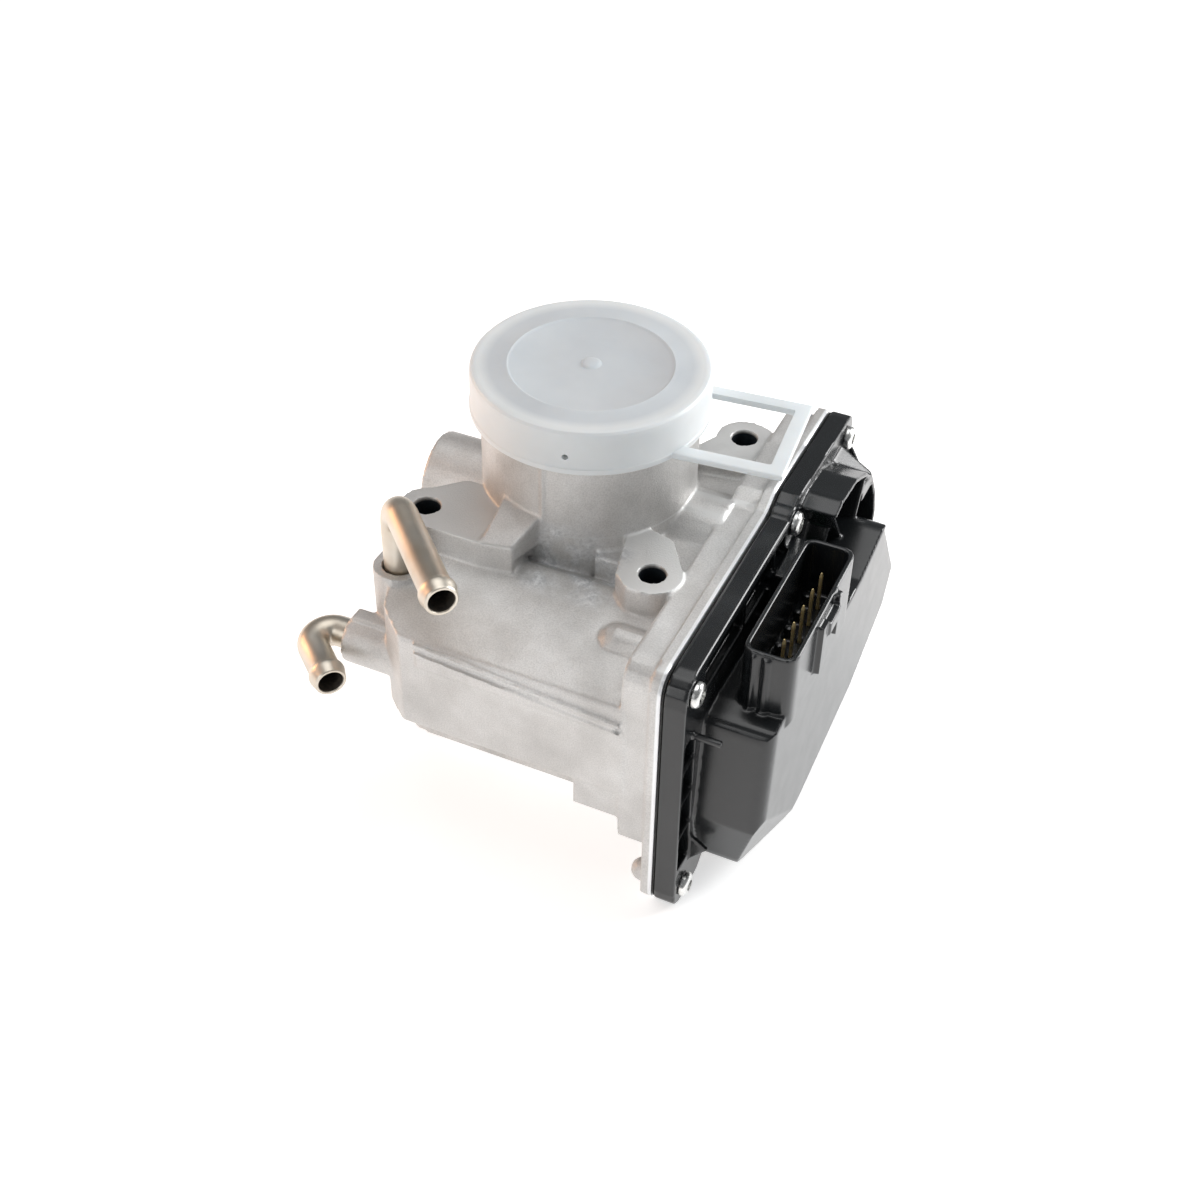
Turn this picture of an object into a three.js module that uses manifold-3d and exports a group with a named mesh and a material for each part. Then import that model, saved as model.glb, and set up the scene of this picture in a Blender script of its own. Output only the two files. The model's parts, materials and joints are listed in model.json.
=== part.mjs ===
// Electronic throttle body: cast aluminium bore and motor housing, plastic gear cover with its
// connector, two coolant pipes, a throttle plate driven by a motor through two gear stages, and
// the plastic dust cap that closes the intake tube for transport.
//
// Frame used for modelling (millimetres): the bore axis is Z, z = 0 is the top of the bolt lugs,
// +X runs along the throttle shaft towards the gear cover, -Y is the motor side. The finished
// group is lifted by LUG_HEIGHT, so that its origin lies on the bore axis in the manifold face.
import * as THREE from 'three';
import { mergeVertices } from 'three/addons/utils/BufferGeometryUtils.js';
import Module from 'manifold-3d';

const wasm = await Module();
wasm.setup();

// ---- driving dimensions ----
const LUG_HEIGHT = 75.5;          // bolt-lug tops above the manifold face
const BORE_R = 25;                // throttle bore, 50 mm
const TUBE_R = 28.2;              // outside of the intake tube
const TUBE_TOP = 31;              // mouth of the intake tube
const BOLT_SPACING = 62.7;        // square bolt pattern
const BOLT_HOLE_R = 3.5;          // clearance for M6
const LUG_R = 7.7;
const SHAFT_Z = -15;              // throttle shaft axis, y = 0
const SHAFT_R = 4.5;
const MOTOR = { y: -49.5, z: -29 };
const MOTOR_CAN_R = 13;
const CASE_BACK_X = 38;           // back of the gear case
const CASE_FLOOR_X = 41;          // floor of the gear case
const PARTING_X = 48.5;           // joint face between gear case and cover
const COVER_FLANGE_X = 55;        // outer face of the cover's flange
const COVER_FACE_X = 73;          // outer face of the cover's raised box
const MODULE = 1;                 // gear tooth module
const PINION_TEETH = 12;
const IDLER_TEETH = 54;
const IDLER_PINION_TEETH = 12;
const SECTOR_TEETH = 52;          // as a full wheel; only a sector is cut
const REST_OPENING = 6;           // plate angle with the motor off, degrees
const CAP_R = 30.75;              // dust cap over the tube
const CAP_TOP = 33.76;
const CAP_BOTTOM = 21.6;
const PIPE_R = 4.1;               // coolant pipes
const PIPE_BORE = 3.2;
const SPRING_R = 11.7;            // mean radius of the return spring
const TOWER_X = 65;               // rim of the cover's arched rear wall
const TOWER_WALL = 1.2;
const IDLER_X = { from: 42, step: 49.1, to: 52.3 };   // small pinion, then large wheel
const GAP = 0.3;                  // clearance between pieces that touch
const RUN = 0.15;                 // clearance of running fits

const rad = THREE.MathUtils.degToRad;
const pitchR = (teeth) => MODULE * teeth / 2;

// ---- solids ----
function solid(geometry) {
  const g = geometry.clone();
  g.deleteAttribute('normal');
  g.deleteAttribute('uv');
  const merged = mergeVertices(g, 1e-4);
  return new wasm.Manifold(new wasm.Mesh({
    numProp: 3,
    vertProperties: new Float32Array(merged.attributes.position.array),
    triVerts: new Uint32Array(merged.index.array),
  }));
}

// Local Z of a shape turned onto X, Y or Z; the shape's own plane is then YZ, ZX or XY.
const TURN = {
  x: new THREE.Matrix4().set(0, 0, 1, 0, 1, 0, 0, 0, 0, 1, 0, 0, 0, 0, 0, 1),
  y: new THREE.Matrix4().set(0, 1, 0, 0, 0, 0, 1, 0, 1, 0, 0, 0, 0, 0, 0, 1),
  z: new THREE.Matrix4(),
};

function prism(axis, shape, from, to, segments = 8) {
  const g = new THREE.ExtrudeGeometry(shape, { depth: to - from, bevelEnabled: false, curveSegments: segments });
  return solid(g.translate(0, 0, from).applyMatrix4(TURN[axis]));
}

// A round bar along an axis; (a, b) is its centre in the plane across that axis.
function rod(axis, a, b, radius, from, to, sides = 32, endRadius = radius) {
  const g = new THREE.CylinderGeometry(endRadius, radius, to - from, sides);
  g.rotateX(Math.PI / 2).translate(a, b, (from + to) / 2);
  return solid(g.applyMatrix4(TURN[axis]));
}

function block(x0, x1, y0, y1, z0, z1) {
  const g = new THREE.BoxGeometry(x1 - x0, y1 - y0, z1 - z0);
  return solid(g.translate((x0 + x1) / 2, (y0 + y1) / 2, (z0 + z1) / 2));
}

function ball(x, y, z, radius) {
  return solid(new THREE.SphereGeometry(radius, 12, 6).translate(x, y, z));
}

// A turned piece: profile points are [radius, height along the axis].
function turned(axis, a, b, profile, sides = 48) {
  const points = profile.map(([r, h]) => new THREE.Vector2(r, h));
  if (THREE.ShapeUtils.area(points) < 0) points.reverse();
  const g = new THREE.LatheGeometry(points, sides);
  g.rotateX(Math.PI / 2).translate(a, b, 0);
  return solid(g.applyMatrix4(TURN[axis]));
}

function ring(axis, a, b, inner, outer, from, to, sides = 48) {
  return rod(axis, a, b, outer, from, to, sides).subtract(rod(axis, a, b, inner, from - 1, to + 1, sides));
}

function union(...parts) {
  return parts.reduce((all, part) => all.add(part));
}

// A closed outline from points [u, v] or [u, v, corner radius].
function outline(points) {
  const shape = new THREE.Shape();
  const n = points.length;
  points.forEach(([u, v, r = 0], i) => {
    const here = new THREE.Vector2(u, v);
    if (r === 0) {
      if (i === 0) shape.moveTo(u, v); else shape.lineTo(u, v);
      return;
    }
    const before = new THREE.Vector2(...points[(i + n - 1) % n]).sub(here);
    const after = new THREE.Vector2(...points[(i + 1) % n]).sub(here);
    const half = before.angleTo(after) / 2;
    const back = Math.min(r / Math.tan(half), before.length() / 2, after.length() / 2);
    const start = here.clone().addScaledVector(before.normalize(), back);
    const end = here.clone().addScaledVector(after.normalize(), back);
    if (i === 0) shape.moveTo(start.x, start.y); else shape.lineTo(start.x, start.y);
    shape.quadraticCurveTo(u, v, end.x, end.y);
  });
  shape.closePath();
  return shape;
}

// The same outline moved inwards by a wall thickness; each side is moved along its normal.
function inset(points, wall) {
  const n = points.length;
  return points.map(([u, v, r = 0], i) => {
    const here = new THREE.Vector2(u, v);
    const before = new THREE.Vector2(...points[(i + n - 1) % n]);
    const after = new THREE.Vector2(...points[(i + 1) % n]);
    const e0 = here.clone().sub(before).normalize();
    const e1 = after.clone().sub(here).normalize();
    const n0 = new THREE.Vector2(-e0.y, e0.x);
    const n1 = new THREE.Vector2(-e1.y, e1.x);
    const miter = n0.clone().add(n1).normalize();
    const reach = wall / Math.max(miter.dot(n1), 0.5);
    return [u + miter.x * reach, v + miter.y * reach, Math.max(r - wall, 0)];
  });
}

function roundedBox(u0, u1, v0, v1, r) {
  return outline([[u0, v0, r], [u1, v0, r], [u1, v1, r], [u0, v1, r]]);
}

function gearOutline(teeth, from = 0, count = teeth, phase = 0) {
  const r = pitchR(teeth);
  const tip = r + 0.9 * MODULE;
  const root = r - 1.15 * MODULE;
  const step = 2 * Math.PI / teeth;
  const shape = new THREE.Shape();
  const at = (radius, angle) => [radius * Math.cos(angle), radius * Math.sin(angle)];
  let started = false;
  for (let i = 0; i < count; i += 1) {
    const c = phase + (from + i) * step;
    for (const [radius, k] of [[root, -0.3], [tip, -0.11], [tip, 0.11], [root, 0.3]]) {
      const p = at(radius, c + k * step);
      if (started) shape.lineTo(...p); else shape.moveTo(...p);
      started = true;
    }
  }
  return shape;
}

const root = new THREE.Group();
root.name = 'throttle_body';
root.position.z = LUG_HEIGHT;

const finishes = {
  aluminium: { color: 0xb9b4ae, roughness: 0.55, metalness: 0.8 },
  steel: { color: 0xc9c9c6, roughness: 0.3, metalness: 1 },
  zinc: { color: 0xc8bea6, roughness: 0.28, metalness: 1 },
  blackPlastic: { color: 0x101214, roughness: 0.3, metalness: 0 },
  gearPlastic: { color: 0xe6e0d0, roughness: 0.5, metalness: 0 },
  cap: { color: 0xe9eef2, roughness: 0.4, metalness: 0 },
  brass: { color: 0xc8a45a, roughness: 0.3, metalness: 1 },
  gold: { color: 0xd9b25a, roughness: 0.25, metalness: 1 },
  rubber: { color: 0x1c1c1c, roughness: 0.8, metalness: 0 },
  copper: { color: 0xb06a3a, roughness: 0.4, metalness: 1 },
  ferrite: { color: 0x3a3a3c, roughness: 0.7, metalness: 0.2 },
  board: { color: 0x1d5a3a, roughness: 0.5, metalness: 0 },
};

function add(name, manifold, finish, parent = root) {
  const m = manifold.getMesh();
  const g = new THREE.BufferGeometry();
  const flat = new Float32Array(m.numVert * 3);
  for (let i = 0; i < m.numVert; i += 1) {
    for (let k = 0; k < 3; k += 1) flat[3 * i + k] = m.vertProperties[i * m.numProp + k];
  }
  g.setAttribute('position', new THREE.BufferAttribute(flat, 3));
  g.setIndex(new THREE.BufferAttribute(new Uint32Array(m.triVerts), 1));
  g.computeVertexNormals();
  const mesh = new THREE.Mesh(g, new THREE.MeshStandardMaterial(finishes[finish]));
  mesh.name = name;
  parent.add(mesh);
  return mesh;
}

// ---- gear train centres ----
const sectorR = pitchR(SECTOR_TEETH);
const shaftToIdler = sectorR + pitchR(IDLER_PINION_TEETH);
const motorToIdler = pitchR(IDLER_TEETH) + pitchR(PINION_TEETH);
const toMotor = new THREE.Vector2(MOTOR.y, MOTOR.z - SHAFT_Z);
const span = toMotor.length();
const cosIdler = (span ** 2 + shaftToIdler ** 2 - motorToIdler ** 2) / (2 * span * shaftToIdler);
const idlerAngle = toMotor.angle() + Math.acos(cosIdler);       // seen from the cover, from +Y
const IDLER = {
  y: shaftToIdler * Math.cos(idlerAngle),
  z: SHAFT_Z + shaftToIdler * Math.sin(idlerAngle),
};
const pinionAngle = Math.atan2(MOTOR.z - IDLER.z, MOTOR.y - IDLER.y);

// ---- cover and gear-case outlines in the YZ plane, counter-clockwise ----
const FRONT_Y = -66.4;
const REAR_Y = 53;
const flangeOutline = [
  [FRONT_Y, -78.5, 6], [-50, -78.5, 5], [-45, -74.5], [30, -74.5, 14], [REAR_Y, -67, 10], [REAR_Y, 2.5, 5],
  [9, 3.5, 2], [3, 0.5, 2], [FRONT_Y, 0.5, 7],
];
const caseOutline = [
  [-64.6, -61, 5], [-30, -61, 6], [20, -60, 8], [51.2, -48, 8], [51.2, 1, 5],
  [9, 2, 2], [3, -0.6, 2], [-64.6, -0.6, 7],
];
const pocketOutline = [
  [-61.8, -55.5, 4], [-28, -57, 6], [18, -57, 8], [47.5, -45.5, 8], [47.5, -1.6, 5], [-61.8, -1.6, 6],
];
const plateauOutline = [
  [-56.5, -51, 3], [-52.5, -69.5, 5], [-24, -71.5, 14], [18, -65.5, 20], [45, -55, 10], [51, -43, 10],
  [33, -15.5, 6], [12, -20.4, 3], [-2.6, -20.7], [-46, -18, 5], [-54, -19, 4],
];
const towerOutline = [
  [6, -18], [52, -40], [51.5, -27], [49, -19, 4], [44, -11, 5], [36, -4, 6], [26, 0.7, 6],
  [14, 1.9, 6], [3, -1.5, 2],
];
const coverScrews = [[-61, -5], [5.5, -2.5], [47.5, -3], [47.5, -61.5], [27, -70.5], [-60.8, -72.6]];
const COVER_BACK_X = PARTING_X + 3 * GAP;
const screwRods = (radius, from, to, sides) => coverScrews.map(([y, z]) => (
  rod('x', y, z, radius, from, to, sides)));
const boltCorners = [[-1, -1], [1, -1], [1, 1], [-1, 1]].map(([i, j]) => [
  i * BOLT_SPACING / 2, j * BOLT_SPACING / 2]);
const coolantBoss = { x: -32, y: -45.3, top: -9 };
const sideBoss = { y: -53.7, z: -31, end: -42.5 };
const stopPin = { y: 17.4, z: -24.2 };
const motorScrews = [[MOTOR.y + 3, MOTOR.z + 17.2], [MOTOR.y + 3, MOTOR.z - 17.2]];

// ---- throttle housing: one aluminium die casting ----
function boltLugs() {
  const thickness = 9;
  const plates = [
    [[-38.9, -29, 5], [-27, -17, 5], [-4, -20], [-3.7, -38], [-12.6, -39.2], [-33, -39, 6]],
    [[23, -35], [27.5, -39, 4], [37, -38.5, 6], [38.9, -29, 4], [31, -17, 4], [18, -14]],
    [[41, 34.8, 2], [34, 39, 6], [29, 38, 6], [23, 27, 4], [18, 16], [41, 20]],
    [[-38.9, 29, 5], [-27, 17, 5], [-18, 14], [-14, 24], [-27, 38.9, 5], [-36, 38, 6]],
  ];
  return union(...plates.map((points) => prism('z', outline(points), -thickness, 0, 4)));
}

function motorHousing() {
  const side = prism('x', outline([
    [-65, -44.5, 3], [-26, -44.5], [-26, -12], [-33, -7, 2], [-39, -8, 3], [-65, -13.9, 2],
  ]), -40, CASE_BACK_X + 1, 4);
  const plan = prism('z', outline([
    [-20.8, -66, 5], [CASE_BACK_X + 2, -66], [CASE_BACK_X + 2, -20], [-30, -20],
    [-36, -38, 4], [-30, -58, 5],
  ]), -60, 0, 4);
  const inletBoss = rod('z', coolantBoss.x, coolantBoss.y, 7, -40, coolantBoss.top, 28);
  const outletBoss = rod('x', sideBoss.y, sideBoss.z, 6.9, sideBoss.end, -24, 28);
  const outletRib = block(sideBoss.end + 1, -28, -55.2, -51.2, -30, -22.8);
  const stiffener = union(rod('x', -46, -11.8, 4.8, 28.5, CASE_BACK_X + 1, 20), ball(28.5, -46, -11.8, 4.8));
  const partingRib = block(-17, 37, -65.7, -60, -22, -18.5);
  const feet = block(25.5, CASE_BACK_X + 1, -64.2, -50, -52.5, -40);
  return union(side.intersect(plan), inletBoss, outletBoss, outletRib, stiffener, partingRib, feet);
}

function gearCase() {
  const rim = prism('x', outline(flangeOutline), PARTING_X - 3, PARTING_X, 4);
  const box = prism('x', outline(caseOutline), CASE_BACK_X, PARTING_X, 4);
  const bosses = coverScrews.map(([y, z]) => union(
    rod('x', y, z, 3.2, PARTING_X - 4.5, PARTING_X, 12, 4), ball(PARTING_X - 4.5, y, z, 3.2)));
  return union(rim, box, ...bosses);
}

function throttleHousing() {
  const barrel = union(
    rod('z', 0, 0, TUBE_R, -20, TUBE_TOP, 56),
    rod('z', 0, 0, 30.5, -LUG_HEIGHT, -14, 56),
    prism('z', roundedBox(-39, 39, -39, 39, LUG_R), -LUG_HEIGHT, -LUG_HEIGHT + 10),
  );
  const columns = boltCorners.map(([x, y]) => rod('z', x, y, LUG_R, -LUG_HEIGHT, 0, 24));
  const webs = boltCorners.map(([x, y]) => {
    const g = new THREE.BoxGeometry(34, 8, LUG_HEIGHT - 8).translate(25, 0, -LUG_HEIGHT / 2 - 4);
    return solid(g.rotateZ(Math.atan2(y, x)));
  });
  const deck = prism('z', outline([
    [14, -27], [24, -27], [CASE_BACK_X + 1, -24], [CASE_BACK_X + 1, 30], [24, 27], [16, 16],
  ]), -14, -4.2);
  const bridge = block(20, CASE_BACK_X + 1, -38, 34, -46, -10);
  const motorBridge = block(-24, CASE_BACK_X, -44, -22, -44, -13.5);
  const ramp = prism('z', outline([[-12.6, -39.2], [-3.7, -38], [0, -27], [-12, -24]]), -4, 9);
  const aboveRamp = solid(new THREE.BoxGeometry(40, 40, 20).translate(0, 0, 10)
    .rotateX(rad(23)).translate(-8, -39, 0));
  const rib = solid(new THREE.BoxGeometry(3.4, 13, 8).rotateZ(rad(-12)).translate(26.2, 2.8, -6.6));
  const shaftBosses = union(
    rod('x', 0, SHAFT_Z, 11.7, -45, -20, 32),
    rod('x', 0, SHAFT_Z, 15.5, 20, CASE_BACK_X + 1, 32),
    rod('x', IDLER.y, IDLER.z, 5.5, 33, CASE_BACK_X + 1, 20),
  );
  const solidCasting = union(barrel, ...columns, ...webs, deck, bridge, motorBridge, boltLugs(),
    ramp.subtract(aboveRamp), rib, shaftBosses, motorHousing(), gearCase());
  const screwBosses = union(...screwRods(4.4, CASE_FLOOR_X - 1, PARTING_X + 2, 16));
  const pocket = prism('x', outline(pocketOutline), CASE_FLOOR_X, PARTING_X + 1, 4);
  const cuts = union(
    rod('z', 0, 0, BORE_R, -LUG_HEIGHT - 1, TUBE_TOP + 1, 56),
    ...boltCorners.map(([x, y]) => rod('z', x, y, BOLT_HOLE_R, -LUG_HEIGHT - 1, 1, 20)),
    rod('x', 0, SHAFT_Z, 5.2, -44, CASE_FLOOR_X + 1, 24),
    rod('x', 0, SHAFT_Z, 7.3, -42.6, -29.7, 28),
    rod('x', 0, SHAFT_Z, 9.5, -46, -42.2, 28),
    rod('x', 0, SHAFT_Z, 8.8, 31.7, CASE_FLOOR_X + 1, 32),
    rod('x', MOTOR.y, MOTOR.z, MOTOR_CAN_R + GAP, -13, CASE_FLOOR_X + 1, 40),
    rod('x', IDLER.y, IDLER.z, 2.3, 34.5, CASE_FLOOR_X + 1, 20),
    rod('z', coolantBoss.x, coolantBoss.y, 4.5, -24, 1, 24),
    rod('z', coolantBoss.x, coolantBoss.y, 3.2, -36, -20, 20),
    rod('x', sideBoss.y, sideBoss.z, 4.5, sideBoss.end - 1, -34.5, 24),
    rod('x', sideBoss.y, sideBoss.z, 3.2, -40, -28, 20),
    block(-34, -31, sideBoss.y, coolantBoss.y, sideBoss.z - 1.5, sideBoss.z + 1.5),
    pocket.subtract(screwBosses),
    ...screwRods(2, PARTING_X - 5.2, PARTING_X + 1, 12),
    rod('x', stopPin.y, stopPin.z, 1.9, 38.6, CASE_FLOOR_X + 1, 16),
    ring('x', 0, SHAFT_Z, SPRING_R - 1.6, SPRING_R + 1.6, 34, CASE_FLOOR_X + 1, 32),
    ...motorScrews.map(([y, z]) => rod('x', y, z, 1.5, 38.4, CASE_FLOOR_X + 1, 12)),
  );
  return solidCasting.subtract(cuts);
}

// ---- gear cover: one black plastic moulding with its connector ----
const connector = { x0: 60.5, x1: 74, y0: -47, y1: -1, floor: -16.5, foot: -22, wall: 1.3 };
const pinPitch = 6.8;
const pinX = 67.25;
const pinYs = [-2.5, -1.5, -0.5, 0.5, 1.5, 2.5].map((k) => -24.3 + k * pinPitch);

function gearCover() {
  const c = connector;
  const cornerSlope = new THREE.Vector3(0.916, -0.254, -0.31).normalize();
  const belowCorner = solid(new THREE.BoxGeometry(60, 60, 20).translate(0, 0, 10)
    .applyQuaternion(new THREE.Quaternion().setFromUnitVectors(new THREE.Vector3(0, 0, 1), cornerSlope))
    .translate(COVER_FACE_X, -52, -49));
  const shell = union(
    prism('x', outline(flangeOutline), COVER_BACK_X, COVER_FLANGE_X, 4),
    prism('x', outline(plateauOutline), COVER_BACK_X, COVER_FACE_X, 6).subtract(belowCorner),
    prism('z', roundedBox(c.x0, c.x1, c.y0, c.y1, 3.8), c.foot, 0, 5),
    ...[[63.4, 64.4], [66.4, 68.2]].map(([a, b]) => block(a, b, c.y0 - 0.7, c.y0 + 0.5, -20, -1.2)),
    prism('x', outline(towerOutline), COVER_BACK_X, TOWER_X, 5)
      .subtract(rod('x', ...coverScrews[1], 4.4, COVER_FLANGE_X, TOWER_X + 1, 20)),
    block(54, c.x0 + 1, -12, 12, -21.7, -6),
    block(c.x1 - 0.5, c.x1 + 1.6, -30.5, -26.5, -17, -2),
    block(c.x1 - 0.5, c.x1 + 1.6, -19, -16.5, -13, -0.5),
    block(c.x1 - 0.5, c.x1 + 2.2, -26.6, -18.9, -7, -3),
  );
  const channels = union(
    block(51, 56, -64.9, -58.1, -64, -19.6),
    block(52, 56, -54, -11, -11, -2.2),
    block(52, 56, -12, -0.5, -8, -2.2),
  );
  const channelRibs = [-28.7, -39.6, -51.5].map((z) => prism('z', outline([
    [50.5, -65.2], [COVER_FLANGE_X, -65.2], [COVER_FLANGE_X, -57.7], [50.5, -57.7],
  ]), z - 0.6, z + 0.6));
  const gussets = union(
    block(54, 62.5, -61.3, -59.7, -19.9, -18.2),
    prism('y', outline([[-57, 54.5], [-67.5, 54.5], [-61, 60]]), -57.9, -56.7),
    prism('y', outline([[-2.5, 54.5], [-14, 54.5], [-14, 64.5], [-9, 64.5]]), 36, 43.5),
    prism('y', outline([[-6, 54.5], [-30, 54.5], [-30, 64.5], [-24, 64.5]]), 51.2, 52.4),
    block(51.5, COVER_FLANGE_X, -28.6, -27.4, -11.5, -1.5),
    block(51.5, COVER_FLANGE_X, -8.6, -7.4, -9, -1.5),
  );
  const gearRoom = union(
    rod('x', IDLER.y, IDLER.z, pitchR(IDLER_TEETH) + 1.8, COVER_BACK_X - 1, 52.9, 48),
    rod('x', MOTOR.y, MOTOR.z, pitchR(PINION_TEETH) + 1.8, COVER_BACK_X - 1, 53.2, 20),
    rod('x', 0, SHAFT_Z, 4.6, COVER_BACK_X - 1, 54, 24),
    prism('x', outline(inset(plateauOutline, 2.5)), 51, COVER_FACE_X - 2.5, 4)
      .subtract(belowCorner.translate([-2.6, 0, 0])),
    block(53, 59, -9.5, 9.5, -24, -8.5),
  );
  const pads = screwRods(4.6, COVER_BACK_X, COVER_FLANGE_X, 20);
  const posts = union(
    rod('x', IDLER.y, IDLER.z, 4.4, 53.2, COVER_FACE_X - 1, 20),
    rod('x', 30, -40, 2.2, 60, COVER_FACE_X - 1, 16),
  );
  const holes = union(
    ...screwRods(2.05, COVER_BACK_X - 1, COVER_FLANGE_X + 4, 16),
    prism('z', roundedBox(c.x0 + c.wall, c.x1 - c.wall, c.y0 + c.wall, c.y1 - c.wall, 2.6), c.floor, 1, 5),
    ...pinYs.map((y) => block(pinX - 0.7, pinX + 0.7, y - 0.9, y + 0.9, c.foot - 1, c.floor + 1)),
    rod('x', IDLER.y, IDLER.z, 2.3, 52, 62, 20),
  );
  const towerRibs = [[-28, 34, 64.5], [35, 20, 63], [-35, 19, 61]].map(([turn, y, top]) => solid(
    new THREE.BoxGeometry(20, 1.1, 70).rotateX(rad(turn)).translate(top - 10, y, -12)));
  const towerCells = prism('x', outline(inset(towerOutline, TOWER_WALL)), COVER_FLANGE_X, TOWER_X + 1, 5)
    .subtract(union(prism('x', outline(plateauOutline), 50, COVER_FACE_X, 6), ...towerRibs));
  const keys = pinYs.map((y) => rod('z', 64.2, y, 1.3, c.floor - 0.5, c.floor + 3.5, 12));
  const hollow = shell.subtract(channels).subtract(towerCells).subtract(gearRoom);
  return union(hollow, ...channelRibs, gussets, ...pads, posts).subtract(holes).add(union(...keys));
}

function coverGasket() {
  const x0 = PARTING_X + GAP;
  const x1 = COVER_BACK_X - GAP;
  const sheet = prism('x', outline(inset(flangeOutline, 0.5)), x0, x1, 4);
  const screwPads = union(...screwRods(4.4, x0 - 2, x1 + 2, 12));
  const opening = prism('x', outline(inset(flangeOutline, 4)), x0 - 1, x1 + 1, 4).subtract(screwPads);
  return sheet.subtract(union(opening, ...screwRods(2.1, x0 - 1, x1 + 1, 10)));
}

// A pan-head screw; its head stands on the seat, towards +axis.
function panScrew(axis, a, b, seat, { shank, length, head, height }) {
  const stem = rod(axis, a, b, shank, seat - length, seat + height / 2, 12);
  const cap = rod(axis, a, b, head, seat, seat + height, 16, head * 0.8);
  return stem.add(cap);
}

// ---- coolant pipes: bent steel tube with a hose bead at the open end ----

// Points are { at, reach }: reach is how far from the corner the bend starts.
function bentTube(points) {
  const path = new THREE.CurvePath();
  let from = points[0].at;
  for (let i = 1; i < points.length; i += 1) {
    const here = points[i].at;
    if (i === points.length - 1) {
      path.add(new THREE.LineCurve3(from, here));
    } else {
      const { reach } = points[i];
      const start = here.clone().add(from.clone().sub(here).setLength(reach));
      const end = here.clone().add(points[i + 1].at.clone().sub(here).setLength(reach));
      path.add(new THREE.LineCurve3(from, start));
      path.add(new THREE.QuadraticBezierCurve3(start, here, end));
      from = end;
    }
  }
  const section = new THREE.Shape().absarc(0, 0, PIPE_R, 0, 2 * Math.PI);
  section.holes.push(new THREE.Path().absarc(0, 0, PIPE_BORE, 0, 2 * Math.PI, true));
  return solid(new THREE.ExtrudeGeometry(section, { steps: 14, curveSegments: 5, extrudePath: path }));
}

function hoseBead(tip, direction) {
  const profile = [[3.2, 0], [4.1, 0], [4.75, 0.9], [4.75, 1.7], [4.2, 2.8], [3.2, 2.8], [3.2, 0]];
  const bead = new THREE.LatheGeometry(profile.map(([r, h]) => new THREE.Vector2(r, h)), 16);
  const turn = new THREE.Quaternion().setFromUnitVectors(new THREE.Vector3(0, 1, 0), direction);
  return solid(bead.applyQuaternion(turn).translate(tip.x, tip.y, tip.z));
}

function coolantPipe(points) {
  const path = points.map(([x, y, z, reach]) => ({ at: new THREE.Vector3(x, y, z), reach }));
  const tip = path[path.length - 1].at;
  const direction = tip.clone().sub(path[path.length - 2].at).normalize();
  return bentTube(path).add(hoseBead(tip.clone().addScaledVector(direction, -4.5), direction));
}

// ---- housing body ----
add('throttle_housing', throttleHousing(), 'aluminium');
add('gear_cover', gearCover(), 'blackPlastic');
add('cover_gasket', coverGasket(), 'rubber');
coverScrews.forEach(([y, z], i) => {
  const size = { shank: 1.7, length: 11.5, head: 3.3, height: 2 };
  add(`cover_screw_${i + 1}`, panScrew('x', y, z, COVER_FLANGE_X + GAP, size), 'steel');
});
pinYs.forEach((y, i) => {
  const blade = prism('x', outline([
    [y - 0.6, -25], [y + 0.6, -25], [y + 0.6, -6], [y + 0.25, -5], [y - 0.25, -5], [y - 0.6, -6],
  ]), pinX - 0.4, pinX + 0.4);
  add(`connector_pin_${i + 1}`, blade, 'gold');
});
add('coolant_pipe_upper', coolantPipe([
  [coolantBoss.x, coolantBoss.y, -18], [coolantBoss.x, coolantBoss.y, 11.2, 8], [-3.3, -74, 11.6],
]), 'zinc');
add('coolant_pipe_side', coolantPipe([
  [-35.2, sideBoss.y, sideBoss.z], [-56.4, sideBoss.y, sideBoss.z, 9], [-39, -71, sideBoss.z - 0.5],
]), 'zinc');
add('shaft_end_plug', turned('x', 0, SHAFT_Z, [
  [0, -43.3], [0, -42.5], [9.1, -42.5], [9.1, -44.8], [8.3, -44.8], [8.3, -43.3], [0, -43.3],
], 24), 'steel');
add('needle_bearing', ring('x', 0, SHAFT_Z, SHAFT_R + RUN, 7, -42, -30, 24), 'steel');
add('shaft_seal', ring('x', 0, SHAFT_Z, SHAFT_R + RUN, 8.5, 32, 34.6, 24), 'rubber');
add('ball_bearing', ring('x', 0, SHAFT_Z, SHAFT_R + RUN, 8.5, 35, 40.5, 24), 'steel');
add('idler_pin', rod('x', IDLER.y, IDLER.z, 2, 35, 61, 20), 'steel');
add('stop_pin', rod('x', stopPin.y, stopPin.z, 1.6, 39, 47, 16), 'steel');

// Return spring in its groove round the shaft boss, drawn at rest.
class Coil extends THREE.Curve {
  constructor(radius, x0, x1, turns) {
    super();
    Object.assign(this, { radius, x0, x1, turns });
  }

  getPoint(t, target = new THREE.Vector3()) {
    const angle = 2 * Math.PI * this.turns * t;
    const x = this.x0 + (this.x1 - this.x0) * t;
    return target.set(x, this.radius * Math.cos(angle), SHAFT_Z + this.radius * Math.sin(angle));
  }
}
const wire = new THREE.Shape().absarc(0, 0, 0.8, 0, 2 * Math.PI);
add('return_spring', solid(new THREE.ExtrudeGeometry(wire, {
  steps: 44, curveSegments: 3, extrudePath: new Coil(SPRING_R, 35.4, 40.1, 2.5),
})), 'steel');

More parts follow.
